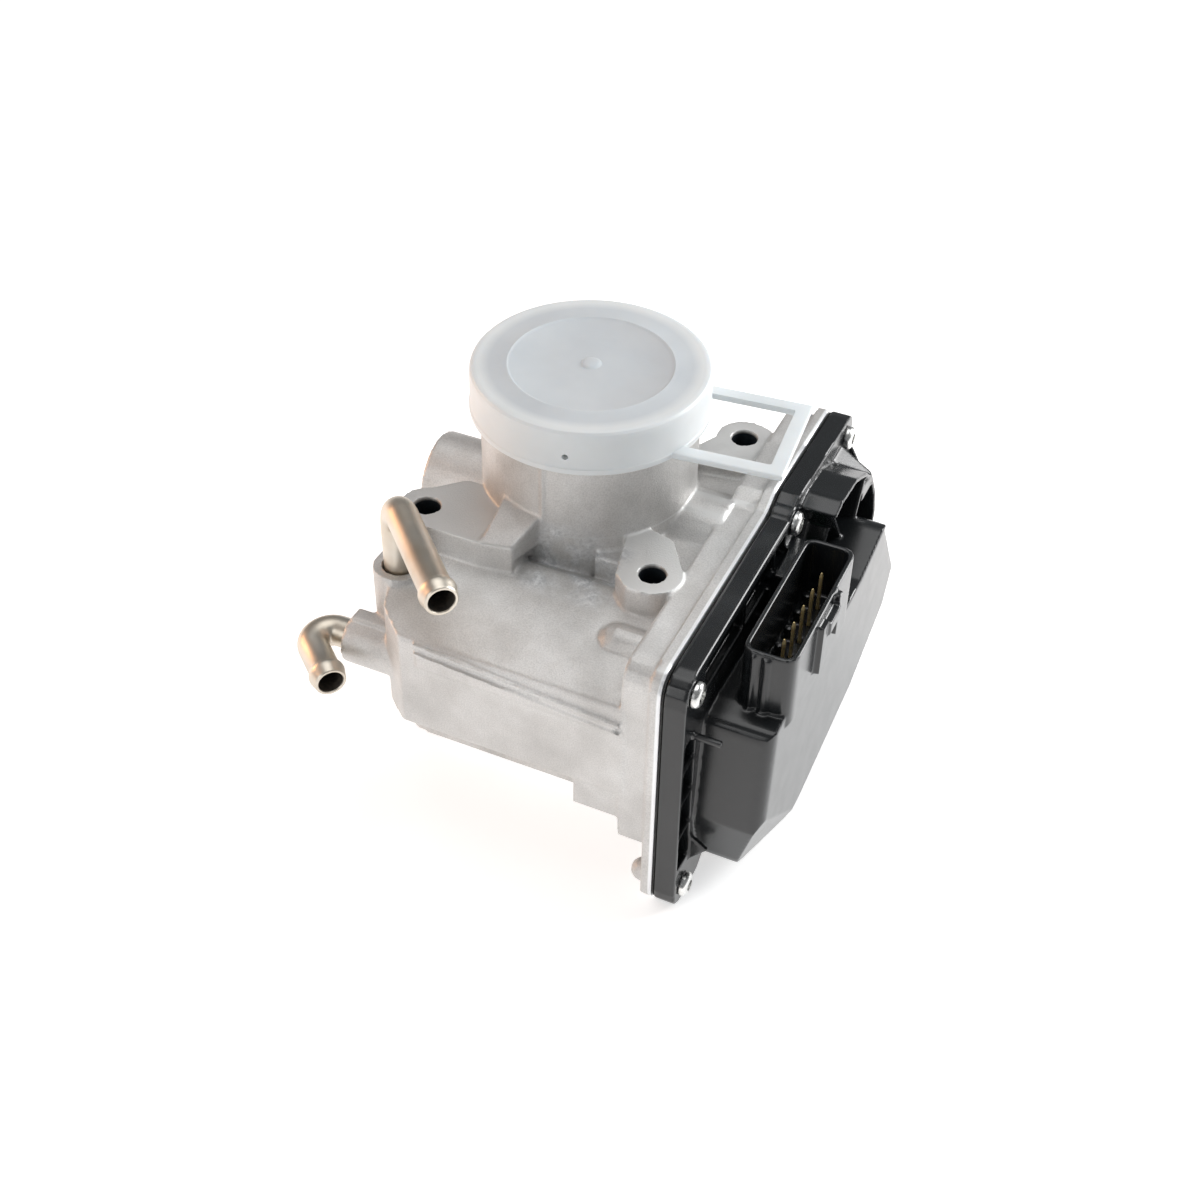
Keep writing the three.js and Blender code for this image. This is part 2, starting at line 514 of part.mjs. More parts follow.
// ---- motor ----
const motorRing = (inner, outer, from, to, sides) => (
  ring('x', MOTOR.y, MOTOR.z, inner, outer, from, to, sides));
add('motor_can', turned('x', MOTOR.y, MOTOR.z, [
  [0, -11.7], [12.2, -11.7], [MOTOR_CAN_R, -10.9], [MOTOR_CAN_R, 34], [11.8, 34], [11.8, -10.2],
  [2.4, -10.2], [2.4, -10.9], [0, -10.9],
], 28), 'steel');
add('motor_wave_washer', motorRing(8, 12, -12.7, -12.1, 24), 'steel');
[['upper', 1], ['lower', -1]].forEach(([side, sign]) => {
  const half = block(-10, 40, -14, 14, 3, 14).rotate([sign > 0 ? 0 : 180, 0, 0]);
  const brush = block(36.2, 39.4, -1.6, 1.6, 4.5, 9).rotate([sign > 0 ? 0 : 180, 0, 0]);
  const magnet = ring('x', 0, 0, 10.2, 11.5, -5, 31, 24).intersect(half);
  add(`motor_magnet_${side}`, magnet.translate([0, MOTOR.y, MOTOR.z]), 'ferrite');
  add(`motor_brush_${side}`, brush.translate([0, MOTOR.y, MOTOR.z]), 'ferrite');
});
const plateX = 41.4;
const endCap = union(
  motorRing(11, 12.6, 34.4, plateX + 0.5, 28),
  motorRing(1.6, 14.5, plateX, plateX + 1.2, 28),
  ...motorScrews.map(([y, z]) => rod('x', y, z, 3.4, plateX, plateX + 1.2, 20)),
).intersect(prism('x', outline(inset(pocketOutline, 0.5)), plateX - 10, plateX + 5, 4)).subtract(union(
  rod('x', MOTOR.y, MOTOR.z, 1.6, 30, 50, 20),
  ...motorScrews.map(([y, z]) => rod('x', y, z, 1.8, plateX - 1, plateX + 2, 16)),
));
add('motor_end_cap', endCap, 'blackPlastic');
motorScrews.forEach(([y, z], i) => {
  const size = { shank: 1.2, length: 3.6, head: 2.7, height: 1.5 };
  add(`motor_screw_${i + 1}`, panScrew('x', y, z, plateX + 1.2 + GAP, size), 'steel');
});
add('sensor_board', block(54.6, 56, -7.5, 7.5, -19.5, -9.5), 'board');

// ---- throttle body: shaft, plate, sector gear and magnet turn together ----
const slotHalf = 1.1;
const plateHalf = 0.9;
const screwX = 9.5;
const plateGroup = new THREE.Group();
plateGroup.position.z = SHAFT_Z;
plateGroup.rotation.x = -rad(REST_OPENING);
root.add(plateGroup);
const shaftCuts = union(
  block(-BORE_R, BORE_R, -6, 6, -slotHalf, slotHalf),
  ...[-screwX, screwX].map((x) => union(rod('z', x, 0, 1.6, -6, 6, 16), rod('z', x, 0, 3, 3.2, 6, 20))),
);
add('throttle_shaft', rod('x', 0, 0, SHAFT_R, -41.6, 48.9, 32).subtract(shaftCuts), 'steel', plateGroup);
const plateHoles = union(...[-screwX, screwX].map((x) => rod('z', x, 0, 1.6, -6, 6, 16)));
add('throttle_plate', rod('z', 0, 0, BORE_R - 0.4, -plateHalf, plateHalf, 48).subtract(plateHoles),
  'brass', plateGroup);
[-screwX, screwX].forEach((x, i) => {
  const size = { shank: 1.3, length: 6.6, head: 2.7, height: 1.5 };
  add(`plate_screw_${i + 1}`, panScrew('z', x, 0, 3.2 + GAP, size), 'steel', plateGroup);
});
const sectorTeeth = gearOutline(SECTOR_TEETH, -1, 14, idlerAngle);
sectorTeeth.lineTo(0, 0);
add('sector_gear', union(
  prism('x', sectorTeeth, 43.2, 47.5),
  rod('x', 0, 0, 8.5, 43.2, 47.9, 32),
).subtract(rod('x', 0, 0, SHAFT_R + RUN, 40, 50, 32)).translate([0, 0, SHAFT_Z]), 'gearPlastic');
add('sensor_magnet', rod('x', 0, SHAFT_Z, 3.2, 49.2, 52.2, 20), 'ferrite');

// ---- idler: large wheel driven by the motor pinion, small pinion drives the sector ----
const idlerPhase = idlerAngle + Math.PI + Math.PI / IDLER_PINION_TEETH;
const idler = union(
  prism('x', gearOutline(IDLER_TEETH, 0, IDLER_TEETH, pinionAngle), IDLER_X.step, IDLER_X.to),
  prism('x', gearOutline(IDLER_PINION_TEETH, 0, IDLER_PINION_TEETH, idlerPhase), IDLER_X.from,
    IDLER_X.step + 0.5),
).subtract(rod('x', 0, 0, 2 + RUN, 40, 60, 20));
add('idler_gear', idler.translate([0, IDLER.y, IDLER.z]), 'gearPlastic');

// ---- motor rotor ----
add('motor_shaft', rod('x', MOTOR.y, MOTOR.z, 1.15, -9.5, 52.3, 16), 'steel');
add('motor_armature', motorRing(1.3, 9.6, -6, 32, 24), 'copper');
add('motor_commutator', motorRing(1.3, 4, 35.4, 40.4, 24), 'copper');
const pinionPhase = pinionAngle + Math.PI + Math.PI / PINION_TEETH;
add('motor_pinion', prism('x', gearOutline(PINION_TEETH, 0, PINION_TEETH, pinionPhase),
  IDLER_X.step, IDLER_X.to).subtract(rod('x', 0, 0, 1.3, 40, 60, 16))
  .translate([0, MOTOR.y, MOTOR.z]), 'brass');

// ---- dust cap: soft translucent plastic, pulled off by its loop before fitting ----
function dustCap() {
  const shell = turned('z', 0, 0, [
    [0, 33.9], [2.2, 33.9], [2.6, 33.4], [20.6, 33.4], [21, 33.9], [21.6, CAP_TOP], [29.3, CAP_TOP],
    [30.4, 33.1], [CAP_R - 0.1, 31.8], [CAP_R - 0.1, 23.4], [CAP_R + 0.15, 23.2],
    [CAP_R + 0.15, CAP_BOTTOM], [TUBE_R + GAP, CAP_BOTTOM], [TUBE_R + GAP, 32.2], [0, 32.2],
  ], 40);
  const loopEnd = 54.2;
  const strip = 3.8;
  const loop = prism('z', roundedBox(20, loopEnd, -16, 16, 1.5), CAP_BOTTOM, 23.3, 3)
    .subtract(prism('z', roundedBox(10, loopEnd - strip, -16 + strip, 16 - strip, 1), 20, 25, 3))
    .subtract(rod('z', 0, 0, CAP_R - 0.8, 20, 25, 40))
    .rotate([0, 0, 5.7]);
  const vent = solid(new THREE.CylinderGeometry(0.8, 0.8, 12, 12).translate(0, -28, 0))
    .rotate([0, 0, 13.5]).translate([0, 0, 26.5]);
  return shell.add(loop).subtract(vent);
}
add('dust_cap', dustCap(), 'cap');

export default root;
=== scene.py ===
import json
import math

import bpy
from mathutils import Matrix, Vector


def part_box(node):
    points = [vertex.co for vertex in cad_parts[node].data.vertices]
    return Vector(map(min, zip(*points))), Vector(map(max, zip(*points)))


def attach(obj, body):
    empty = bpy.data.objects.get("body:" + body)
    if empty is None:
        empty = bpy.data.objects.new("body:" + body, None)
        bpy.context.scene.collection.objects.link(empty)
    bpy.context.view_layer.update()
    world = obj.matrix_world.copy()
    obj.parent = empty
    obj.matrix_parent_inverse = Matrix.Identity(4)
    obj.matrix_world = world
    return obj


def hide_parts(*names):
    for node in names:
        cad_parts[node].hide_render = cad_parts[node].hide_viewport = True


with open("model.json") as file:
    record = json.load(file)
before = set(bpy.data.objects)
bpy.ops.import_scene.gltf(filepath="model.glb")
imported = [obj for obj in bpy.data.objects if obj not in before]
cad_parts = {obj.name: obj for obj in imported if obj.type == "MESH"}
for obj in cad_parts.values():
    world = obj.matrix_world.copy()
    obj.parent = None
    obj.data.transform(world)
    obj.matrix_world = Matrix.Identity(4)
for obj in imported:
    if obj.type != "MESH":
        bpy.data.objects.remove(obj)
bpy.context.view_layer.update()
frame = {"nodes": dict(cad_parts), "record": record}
nodes = frame["nodes"]


# ---- camera, light and floor ----
# The part is held a little above a pale studio floor, under one large soft light overhead, a
# second one from the motor side, a warm one from the left and one that brightens the floor behind.
camera = bpy.data.objects.new("camera", bpy.data.cameras.new("camera"))
bpy.context.scene.collection.objects.link(camera)
camera.data.lens = 52.19
camera.data.sensor_width = 36
camera.matrix_world = Matrix((
    (0.9090, -0.2838, 0.3053, 0.15140),
    (0.4166, 0.5950, -0.6874, -0.33291),
    (0.0134, 0.7520, 0.6591, 0.35087),
    (0, 0, 0, 1)))
bpy.context.scene.camera = camera

WHITE = (1, 1, 1)
AIM = Vector((0, 0, 0.05))            # the point that every light faces
for name, place, size, power, colour in (
        ("overhead_light", (-0.05, 0.10, 0.80), 0.6, 2.0, WHITE),
        ("motor_side_light", (-0.35, -0.75, 0.40), 0.5, 1.5, WHITE),
        ("warm_left_light", (-0.60, -0.10, 0.22), 0.3, 1.2, (1.0, 0.55, 0.30)),
        ("rear_light", (0.40, 0.36, 0.30), 0.3, 3.0, WHITE)):
    lamp = bpy.data.objects.new(name, bpy.data.lights.new(name, "AREA"))
    bpy.context.scene.collection.objects.link(lamp)
    lamp.data.size = size
    lamp.data.energy = power
    lamp.data.color = colour
    lamp.location = place
    lamp.rotation_euler = (AIM - Vector(place)).to_track_quat("-Z", "Y").to_euler()

studio = bpy.data.worlds.new("studio")
studio.use_nodes = True
studio.node_tree.nodes["Background"].inputs["Color"].default_value = (0.96, 0.98, 1.0, 1)
studio.node_tree.nodes["Background"].inputs["Strength"].default_value = 0.22
bpy.context.scene.world = studio
bpy.context.scene.view_settings.view_transform = "Standard"

bpy.ops.object.select_all(action="DESELECT")
FLOOR_Z = -0.0032                     # just below the cover's bottom lug
bpy.ops.mesh.primitive_plane_add(size=6, location=(0, 0, FLOOR_Z))
floor = bpy.context.object
floor.name = "floor"
paper = bpy.data.materials.new("white_paper")
paper.use_nodes = True
shader = paper.node_tree.nodes["Principled BSDF"]
shader.inputs["Base Color"].default_value = (0.93, 0.93, 0.93, 1)
shader.inputs["Roughness"].default_value = 0.9
shader.inputs["Emission Color"].default_value = (*WHITE, 1)
shader.inputs["Emission Strength"].default_value = 0.55
floor.data.materials.append(paper)


# ---- throttle housing ----
# One high-pressure aluminium die casting: bore, intake tube, bolt lugs, motor housing, gear case
# and coolant bosses. The skin is shot-blasted; the lug tops, the tube mouth and the case rim are
# machined. Every corner of the raw casting is rounded by about half a millimetre.
def material(name):
    made = bpy.data.materials.new(name)
    made.use_nodes = True
    tree = made.node_tree
    return made, tree, tree.nodes["Principled BSDF"]


def link(tree, source, target):
    tree.links.new(source, target)


def speckle(tree, scale, detail=3.0, roughness=0.55):
    place = tree.nodes.new("ShaderNodeTexCoord")
    noise = tree.nodes.new("ShaderNodeTexNoise")
    noise.inputs["Scale"].default_value = scale
    noise.inputs["Detail"].default_value = detail
    noise.inputs["Roughness"].default_value = roughness
    link(tree, place.outputs["Object"], noise.inputs["Vector"])
    return noise.outputs["Fac"]


def ramp(tree, value, *stops):
    made = tree.nodes.new("ShaderNodeValToRGB")
    while len(made.color_ramp.elements) < len(stops):
        made.color_ramp.elements.new(0.5)
    for element, (place, colour) in zip(made.color_ramp.elements, stops):
        element.position = place
        element.color = (*colour, 1) if len(colour) == 3 else (colour[0],) * 3 + (1,)
    link(tree, value, made.inputs["Fac"])
    return made.outputs["Color"]


def tinted(tree, shader, value, *stops):
    link(tree, ramp(tree, value, *stops), shader.inputs["Base Color"])


def roughened(tree, shader, scale, low, high, detail=3.0, start=0.3):
    """Roughness that wanders from low to high over the surface."""
    patches = ramp(tree, speckle(tree, scale, detail), (start, (low,)), (0.7, (high,)))
    link(tree, patches, shader.inputs["Roughness"])


def bumps(tree, shader, height, strength, distance=0.0001):
    made = tree.nodes.new("ShaderNodeBump")
    made.inputs["Strength"].default_value = strength
    made.inputs["Distance"].default_value = distance
    link(tree, height, made.inputs["Height"])
    link(tree, made.outputs["Normal"], shader.inputs["Normal"])


def blended(tree, factor, a, b, kind="RGBA", mode="MIX"):
    made = tree.nodes.new("ShaderNodeMix")
    made.data_type = kind
    if kind == "RGBA":
        made.blend_type = mode
        made.clamp_result = True
        ins, out = (made.inputs[6], made.inputs[7]), made.outputs[2]
    else:
        ins, out = (made.inputs[2], made.inputs[3]), made.outputs[0]
    for socket, value in ((made.inputs[0], factor), (ins[0], a), (ins[1], b)):
        if hasattr(value, "is_linked"):
            link(tree, value, socket)
        else:
            socket.default_value = value
    return out


def position(tree, axis):
    place = tree.nodes.new("ShaderNodeTexCoord")
    split = tree.nodes.new("ShaderNodeSeparateXYZ")
    link(tree, place.outputs["Object"], split.inputs[0])
    return split.outputs[axis]


def off_axis(tree, point, x=0, y=0):
    """How far a point lies from the upright line through x, y."""
    flat = tree.nodes.new("ShaderNodeMapping")
    flat.inputs["Location"].default_value = (-x, -y, 0)
    flat.inputs["Scale"].default_value = (1, 1, 0)
    length = tree.nodes.new("ShaderNodeVectorMath")
    length.operation = "LENGTH"
    link(tree, point, flat.inputs["Vector"])
    link(tree, flat.outputs["Vector"], length.inputs[0])
    return length.outputs["Value"]


def between(tree, value, low, high, soft):
    """1 where value lies from low to high, falling to 0 over a soft edge."""
    made = []
    for a, b in ((low - soft, low), (high + soft, high)):
        step = tree.nodes.new("ShaderNodeMapRange")
        step.inputs["From Min"].default_value = a
        step.inputs["From Max"].default_value = b
        link(tree, value, step.inputs["Value"])
        made.append(step.outputs[0])
    return times(tree, *made)


def times(tree, *values):
    """The product of some values."""
    result = values[0]
    for value in values[1:]:
        made = tree.nodes.new("ShaderNodeMath")
        made.operation = "MULTIPLY"
        link(tree, result, made.inputs[0])
        link(tree, value, made.inputs[1])
        result = made.outputs[0]
    return result


def select_only(obj, *others):
    bpy.ops.object.select_all(action="DESELECT")
    for other in (obj, *others):
        other.select_set(True)
    bpy.context.view_layer.objects.active = obj


def select_facing(obj, axis, sign):
    """Selects an object's faces that look along an axis, and nothing else."""
    select_only(obj)
    bpy.ops.object.mode_set(mode="EDIT")
    bpy.ops.mesh.select_all(action="DESELECT")
    bpy.ops.object.mode_set(mode="OBJECT")
    for face in obj.data.polygons:
        face.select = face.normal[axis] * sign > 0.9
    bpy.ops.object.mode_set(mode="EDIT")


def close_up(smooth=None):
    """Leaves edit mode with all faces outwards, smoothed where they meet at less than an angle."""
    bpy.ops.mesh.select_all(action="SELECT")
    bpy.ops.mesh.normals_make_consistent(inside=False)
    bpy.ops.object.mode_set(mode="OBJECT")
    if smooth:
        bpy.ops.object.shade_smooth_by_angle(angle=math.radians(smooth))


def working_copy(name, node):
    """A copy of a CAD node's mesh, with its loose triangles merged into one closed skin."""
    made = bpy.data.objects.new(name, nodes[node].data.copy())
    made.data.materials.clear()
    bpy.context.scene.collection.objects.link(made)
    select_only(made)
    bpy.ops.object.mode_set(mode="EDIT")
    bpy.ops.mesh.select_all(action="SELECT")
    bpy.ops.mesh.remove_doubles(threshold=2e-6)
    close_up()
    return made


def apply_modifier(obj, kind, **settings):
    bpy.context.view_layer.objects.active = obj
    made = obj.modifiers.new(kind.lower(), kind)
    for key, value in settings.items():
        setattr(made, key, value)
    bpy.ops.object.modifier_apply(modifier=made.name)


def cast_skin(obj, grain, passes, faces):
    """Gives a solid the even, rounded skin of a casting or moulding."""
    apply_modifier(obj, "REMESH", mode="VOXEL", voxel_size=grain)
    apply_modifier(obj, "SMOOTH", factor=0.5, iterations=passes)
    count = len(obj.data.polygons) * 2
    if count > faces:
        apply_modifier(obj, "DECIMATE", ratio=faces / count)
    select_only(obj)
    bpy.ops.object.shade_smooth_by_angle(angle=math.radians(SKIN_SMOOTH))


SKIN_SMOOTH = 38                      # degrees; sharper edges of a cast or moulded skin stay crisp
LUG_TOP = 0.0755                      # the bolt lugs' machined tops
LUG_AXIS = 0.03135                    # each bolt hole's distance from the bore axis, in x and in y
CASE_RIM = (0.0478, 0.0490)           # the gear case's machined rim
SEAM_TILT = 94.6                      # degrees from upright; the motor housing's parting line

casting = working_copy("housing_casting", "throttle_housing")
seam_ridges = []
for place, radius, length, tilt in (
        ((0, -0.0282, 0.08375), 0.00045, 0.0255, 0),
        ((0, 0.0282, 0.08575), 0.00045, 0.0215, 0),
        ((0.0105, -0.06585, 0.0590), 0.0006, 0.056, SEAM_TILT),
        ((0.0105, -0.0658, 0.0561), 0.00045, 0.056, SEAM_TILT)):
    bpy.ops.object.select_all(action="DESELECT")
    bpy.ops.mesh.primitive_cylinder_add(
        vertices=12, radius=radius, depth=length, location=place, rotation=(0, math.radians(tilt), 0))
    bpy.ops.object.transform_apply()
    seam_ridges.append(bpy.context.object)
select_only(casting, *seam_ridges)
bpy.ops.object.join()
cast_skin(casting, 0.0005, 2, 190000)

aluminium, tree, shader = material("cast_aluminium")
blotches = speckle(tree, 55, 4)
skin_colour = ramp(tree, blotches, (0.30, (0.60, 0.59, 0.575)), (0.50, (0.69, 0.68, 0.665)),
                   (0.72, (0.79, 0.785, 0.775)))
grains = speckle(tree, 2600, 2)
grain_colour = ramp(tree, grains, (0.30, (0.74,)), (0.65, (1.0,)))
skin_colour = blended(tree, 0.65, skin_colour, grain_colour, mode="MULTIPLY")
lug_top = between(tree, position(tree, "Z"), LUG_TOP - 0.0002, LUG_TOP + 0.0002, 0.0002)
colour = blended(tree, lug_top, skin_colour, (0.70, 0.70, 0.69, 1))
case_rim = between(tree, position(tree, "X"), *CASE_RIM, 0.0003)
colour = blended(tree, case_rim, colour, (0.93, 0.94, 0.95, 1))
# Painted shade: the walls of the four bolt holes, from the base up to just under the lug tops, are painted
# near black for the shade inside them.
place = tree.nodes.new("ShaderNodeTexCoord")
mirrored = tree.nodes.new("ShaderNodeVectorMath")
mirrored.operation = "ABSOLUTE"
link(tree, place.outputs["Object"], mirrored.inputs[0])
from_bolt = off_axis(tree, mirrored.outputs["Vector"], LUG_AXIS, LUG_AXIS)
bolt_hole_shade = times(tree, between(tree, from_bolt, 0, 0.0036, 0.0002),
                  between(tree, position(tree, "Z"), 0, LUG_TOP - 0.0012, 0.0008))
colour = blended(tree, bolt_hole_shade, colour, (0.035, 0.045, 0.055, 1))
pocket = times(tree, between(tree, position(tree, "X"), 0.000, 0.022, 0.005),
               between(tree, position(tree, "Y"), -0.038, -0.027, 0.004),
               between(tree, position(tree, "Z"), 0.060, 0.076, 0.004))
crystals = speckle(tree, 800, 5, 0.7)
crystal_colour = ramp(tree, crystals, (0.40, (0.60, 0.61, 0.62)), (0.62, (0.93, 0.94, 0.95)))
patches = ramp(tree, speckle(tree, 130), (0.42, (0,)), (0.60, (0.85,)))
colour = blended(tree, times(tree, pocket, patches), colour, crystal_colour)
link(tree, colour, shader.inputs["Base Color"])
shader.inputs["Metallic"].default_value = 0.66
roughened(tree, shader, 240, 0.44, 0.56, detail=4)
relief = blended(tree, pocket, grains, crystals, kind="FLOAT")
bumps(tree, shader, relief, 0.34, 0.0003)
casting.data.materials.append(aluminium)
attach(casting, "housing")
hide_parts("throttle_housing")


# ---- gear cover ----
# One moulding in black glass-filled plastic, with a semi-gloss face: it closes the gear case and
# carries the sensor and the connector shroud. Six screws clamp it on its gasket.
FACE_X = 0.073                        # the raised box's outer face
EDGE_R = 0.0034                       # radius of its lower and front edges
EDGE_TOP = 0.0585                     # above this the shroud and the tower meet the face
outline = [Vector(p) / 1000 for p in (
    (-54, 57.5), (-56.5, 24.5), (-52.5, 6), (-24, 4), (18, 10), (45, 20.5), (51, 32.5), (33, 60))]


def nearest_side(spot):
    """The closest point of the outline's sides in YZ, and that side's inward direction."""
    found = []
    for a, b in zip(outline, outline[1:]):
        along = min(max((spot - a).dot(b - a) / (b - a).length_squared, 0), 1)
        foot = a + (b - a) * along
        side = (b - a).normalized()
        found.append(((spot - foot).length, foot, Vector((-side.y, side.x))))
    return min(found, key=lambda entry: entry[0])[1:]


cover = working_copy("cover_moulding", "gear_cover")
cast_skin(cover, 0.00042, 2, 195000)
for vertex in cover.data.vertices:
    rise = vertex.co.x - (FACE_X - EDGE_R)
    if rise < 0 or vertex.co.z > EDGE_TOP:
        continue
    spot = vertex.co.yz
    foot, inward = nearest_side(spot)
    sunk = EDGE_R - (spot - foot).dot(inward)
    reach = math.hypot(rise, sunk)
    if sunk > 0 and reach > EDGE_R:
        spot += inward * sunk * (1 - EDGE_R / reach)
        vertex.co = (FACE_X - EDGE_R + rise * EDGE_R / reach, spot.x, spot.y)
bpy.ops.object.shade_smooth_by_angle(angle=math.radians(SKIN_SMOOTH))

black_plastic, tree, shader = material("black_plastic")
tinted(tree, shader, speckle(tree, 70), (0.35, (0.008, 0.0095, 0.0105)), (0.65, (0.013, 0.0145, 0.016)))
roughened(tree, shader, 160, 0.22, 0.25, start=0.35)
shader.inputs["IOR"].default_value = 1.52
shader.inputs["Specular IOR Level"].default_value = 0.55
shader.inputs["Coat Weight"].default_value = 0.12
shader.inputs["Coat Roughness"].default_value = 0.2
bumps(tree, shader, speckle(tree, 1300, 3, 0.6), 0.035, 0.0002)
cover.data.materials.append(black_plastic)
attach(cover, "housing")
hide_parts("gear_cover")


# ---- cover screws ----
# Pan-head thread-forming screws in bright zinc-plated steel, with a drive recess in a low dome;
# they pass through the cover's corner pads into blind holes in the casting.
bright_steel, tree, shader = material("bright_zinc_steel")
tinted(tree, shader, speckle(tree, 500), (0.3, (0.70, 0.70, 0.68)), (0.7, (0.88, 0.88, 0.87)))
shader.inputs["Metallic"].default_value = 1.0
roughened(tree, shader, 900, 0.20, 0.36)
bumps(tree, shader, speckle(tree, 1800, 2), 0.10)

HEAD_R = 0.00328
SHANK_R = 0.0017
HEAD_RIM = 0.0006                     # height of the head's straight rim
DOME = (                              # radius of each further ring, and its rise; the last is the recess
    (0.00318, 0.0004), (0.0029, 0.00035), (0.0024, 0.0003), (0.0019, 0.00012), (0.0015, 0))
RECESS_DEPTH = 0.0011

for i in range(1, 7):
    node = f"cover_screw_{i}"
    low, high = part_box(node)
    y, z = (low.y + high.y) / 2, (low.z + high.z) / 2
    seat = high.x - 0.002
    bpy.ops.object.select_all(action="DESELECT")
    bpy.ops.mesh.primitive_cylinder_add(
        vertices=36, radius=HEAD_R, depth=HEAD_RIM, location=(seat + HEAD_RIM / 2, y, z),
        rotation=(0, math.radians(90), 0))
    bpy.ops.object.transform_apply()
    head = bpy.context.object
    head.name = f"screw_head_{i}"
    select_facing(head, 0, 1)
    across = HEAD_R
    for wide, step in DOME:
        bpy.ops.mesh.extrude_region_move(TRANSFORM_OT_translate={"value": (step, 0, 0)})
        bpy.ops.transform.resize(value=(1, wide / across, wide / across), center_override=(seat, y, z))
        across = wide
    bpy.ops.mesh.extrude_region_move(TRANSFORM_OT_translate={"value": (-RECESS_DEPTH, 0, 0)})
    bpy.ops.object.mode_set(mode="OBJECT")
    select_facing(head, 0, -1)
    bpy.ops.mesh.inset(thickness=HEAD_R - SHANK_R, depth=0)
    bpy.ops.mesh.extrude_region_move(TRANSFORM_OT_translate={"value": (low.x - seat, 0, 0)})
    close_up(smooth=35)
    head.data.materials.append(bright_steel)
    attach(head, "housing")
    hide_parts(node)


# ---- connector pins ----
# Six flat blades, stamped from brass strip and gold-plated, moulded into the cover, with tips
# pressed to a blunt wedge. Known fault: pin_blade_1 is extruded whole, since faces are not yet the
# select mode there, so it is two overlapping boxes and its tip is a square stub.
gold, tree, shader = material("gold_plate")
tinted(tree, shader, speckle(tree, 900, 2), (0.3, (0.86, 0.62, 0.26)), (0.7, (0.98, 0.80, 0.44)))
shader.inputs["Metallic"].default_value = 0.40
roughened(tree, shader, 1500, 0.26, 0.38, detail=2)

TIP = 0.0012                          # height of a blade's wedge

for i in range(1, 7):
    node = f"connector_pin_{i}"
    low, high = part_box(node)
    middle = (low + high) / 2
    bpy.ops.object.select_all(action="DESELECT")
    bpy.ops.mesh.primitive_cube_add(size=1, location=middle)
    blade = bpy.context.object
    blade.name = f"pin_blade_{i}"
    blade.scale = high - low
    blade.scale.z -= TIP
    blade.location.z -= TIP / 2
    bpy.ops.object.transform_apply()
    for face in blade.data.polygons:
        face.select = face.normal.z > 0.9
    for edge in blade.data.edges:
        edge.select = False
    bpy.ops.object.mode_set(mode="EDIT")
    bpy.ops.mesh.select_mode(type="FACE")
    bpy.ops.mesh.extrude_region_move(TRANSFORM_OT_translate={"value": (0, 0, TIP)})
    bpy.ops.transform.resize(value=(0.45, 0.35, 1), center_override=(middle.x, middle.y, high.z))
    close_up()
    apply_modifier(blade, "BEVEL", width=0.00012, segments=2)
    blade.data.materials.append(gold)
    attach(blade, "housing")
    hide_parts(node)


# ---- dust cap ----
# A soft translucent polyethylene cap, injection moulded, that keeps dirt out of the intake tube.
# A flat loop on its skirt is pulled to take it off.
GATE = (1.6, 109.4)                   # radius and height of the gate mark on top, in mm
CAP_PROFILE = (                       # radius and height, in mm, from there out, down and up the inside
    (2.2, 109.25), (2.7, 108.95), (10, 108.9), (20.4, 108.9), (20.8, 109.1), (21.1, 109.3), (21.5, 109.25),
    (22, 109.1), (28.6, 109.15), (29.2, 109.2), (29.9, 109.0), (30.4, 108.5), (30.6, 107.8), (30.65, 107.0),
    (30.65, 98.95), (30.75, 98.75), (30.9, 98.6), (30.9, 97.3), (30.7, 97.1), (28.8, 97.1), (28.5, 97.4),
    (28.5, 107.7))
LOOP_TURN = math.radians(5.7)         # the loop's direction round the cap
LOOP = (22, 54.2, -16, 16, 97.1, 98.8)            # box of the loop, x, y and z in mm
LOOP_WINDOW = (10, 50.4, -12.2, 12.2, 95, 101)    # box of what is cut from its middle
VENT_TURN = math.radians(13.5)        # the vent hole's direction, from -Y
VENT_PLACE = 0.0295

bpy.ops.object.select_all(action="DESELECT")
radius, height = GATE
bpy.ops.mesh.primitive_circle_add(
    vertices=128, radius=radius / 1000, fill_type="NGON", location=(0, 0, height / 1000))
cap = bpy.context.object
cap.name = "cap_moulding"
bpy.ops.object.transform_apply()
bpy.ops.object.mode_set(mode="EDIT")
bpy.ops.mesh.select_all(action="SELECT")
for wide, tall in CAP_PROFILE:
    bpy.ops.mesh.extrude_region_move(TRANSFORM_OT_translate={"value": (0, 0, (tall - height) / 1000)})
    bpy.ops.transform.resize(
        value=(wide / radius, wide / radius, 1), center_override=(0, 0, tall / 1000))
    radius, height = wide, tall
close_up()

boxes = []
for x0, x1, y0, y1, low, high in (LOOP, LOOP_WINDOW):
    bpy.ops.object.select_all(action="DESELECT")
    bpy.ops.mesh.primitive_cube_add(
        size=1, location=((x0 + x1) / 2000, (y0 + y1) / 2000, (low + high) / 2000))
    box = bpy.context.object
    box.scale = ((x1 - x0) / 1000, (y1 - y0) / 1000, (high - low) / 1000)
    bpy.ops.object.transform_apply()
    apply_modifier(box, "BEVEL", width=0.0006, segments=3)
    box.rotation_euler.z = LOOP_TURN
    bpy.ops.object.transform_apply()
    boxes.append(box)
loop, window = boxes
bpy.ops.object.select_all(action="DESELECT")
bpy.ops.mesh.primitive_cylinder_add(vertices=96, radius=0.0297, depth=0.006, location=(0, 0, 0.098))
tube = bpy.context.object
bpy.ops.object.select_all(action="DESELECT")
bpy.ops.mesh.primitive_cylinder_add(
    vertices=24, radius=0.0008, depth=0.006, rotation=(math.radians(90), 0, 0),
    location=(VENT_PLACE * math.sin(VENT_TURN), -VENT_PLACE * math.cos(VENT_TURN), 0.102))
vent = bpy.context.object
bpy.ops.object.transform_apply()
